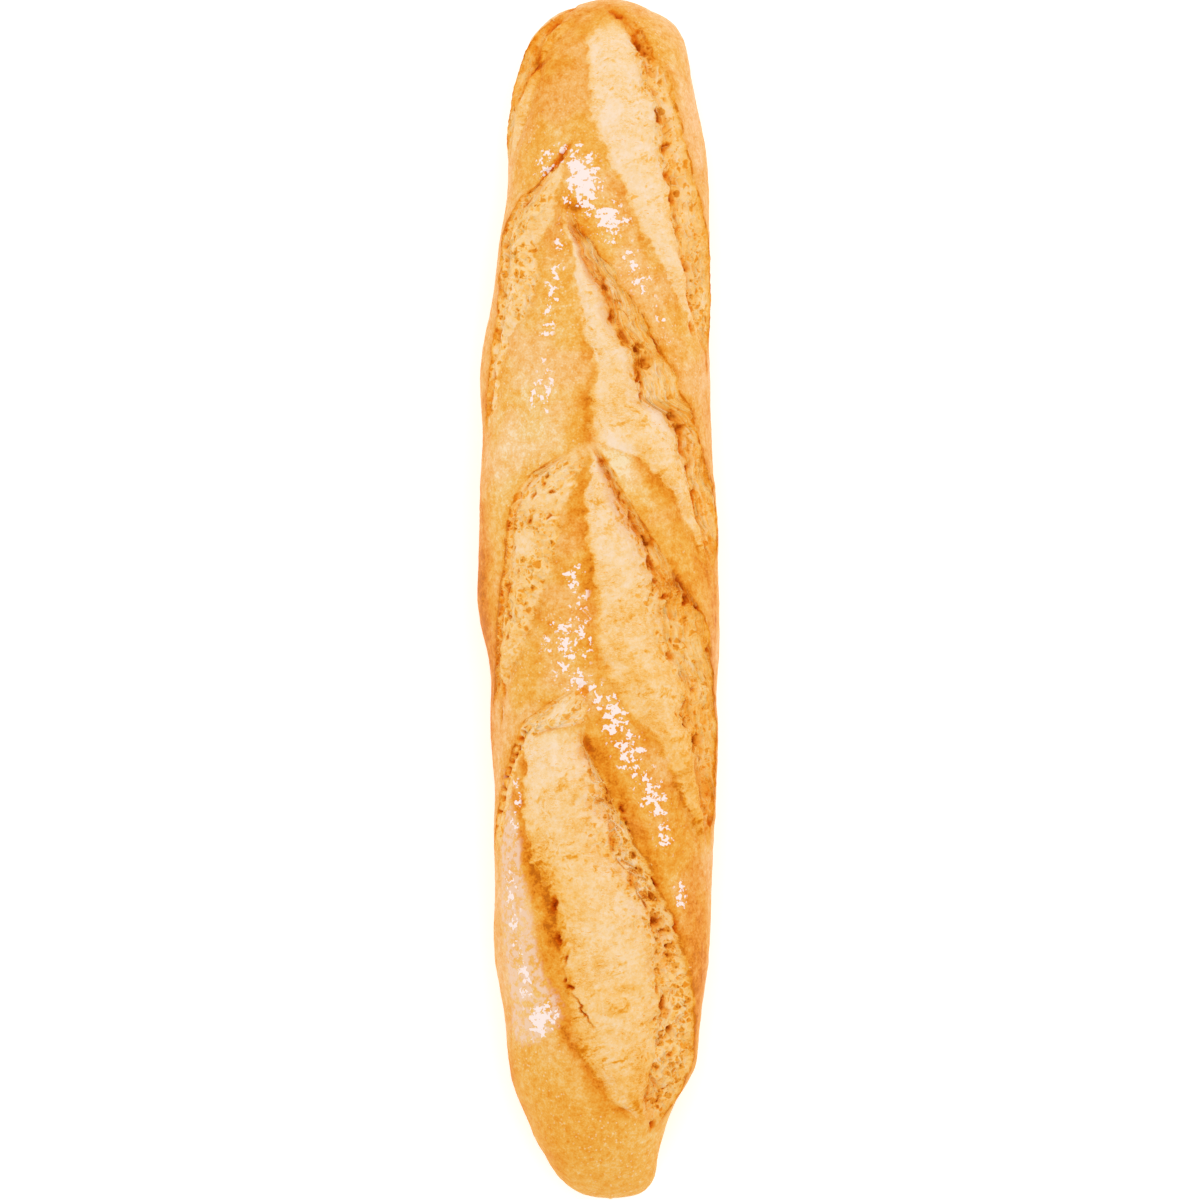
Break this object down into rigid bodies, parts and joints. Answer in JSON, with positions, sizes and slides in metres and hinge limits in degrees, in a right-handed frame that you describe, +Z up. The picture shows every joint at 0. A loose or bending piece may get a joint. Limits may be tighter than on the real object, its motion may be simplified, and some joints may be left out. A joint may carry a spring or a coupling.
{
  "type": "baguette",
  "caption": "Slashed baguette with golden crust: long rounded loaf, flat underneath, its crown opened by overlapping chevron cuts with raised torn ears.",
  "frame": {"origin": "centre of the loaf's footprint box, on the surface it rests on", "axes": "+Y along the loaf towards the broader end where the first cut starts, +X to the side of the raised ears, +Z up through the slashed crown"},
  "size_m": [0.0776, 0.3802, 0.0538],
  "materials": {
    "crust": "dry golden baked crust, paler risen crumb in the cuts, brown torn edges, patches of flour"
  },
  "bodies": {
    "root": {"loaf": "crust"}
  },
  "joints": []
}
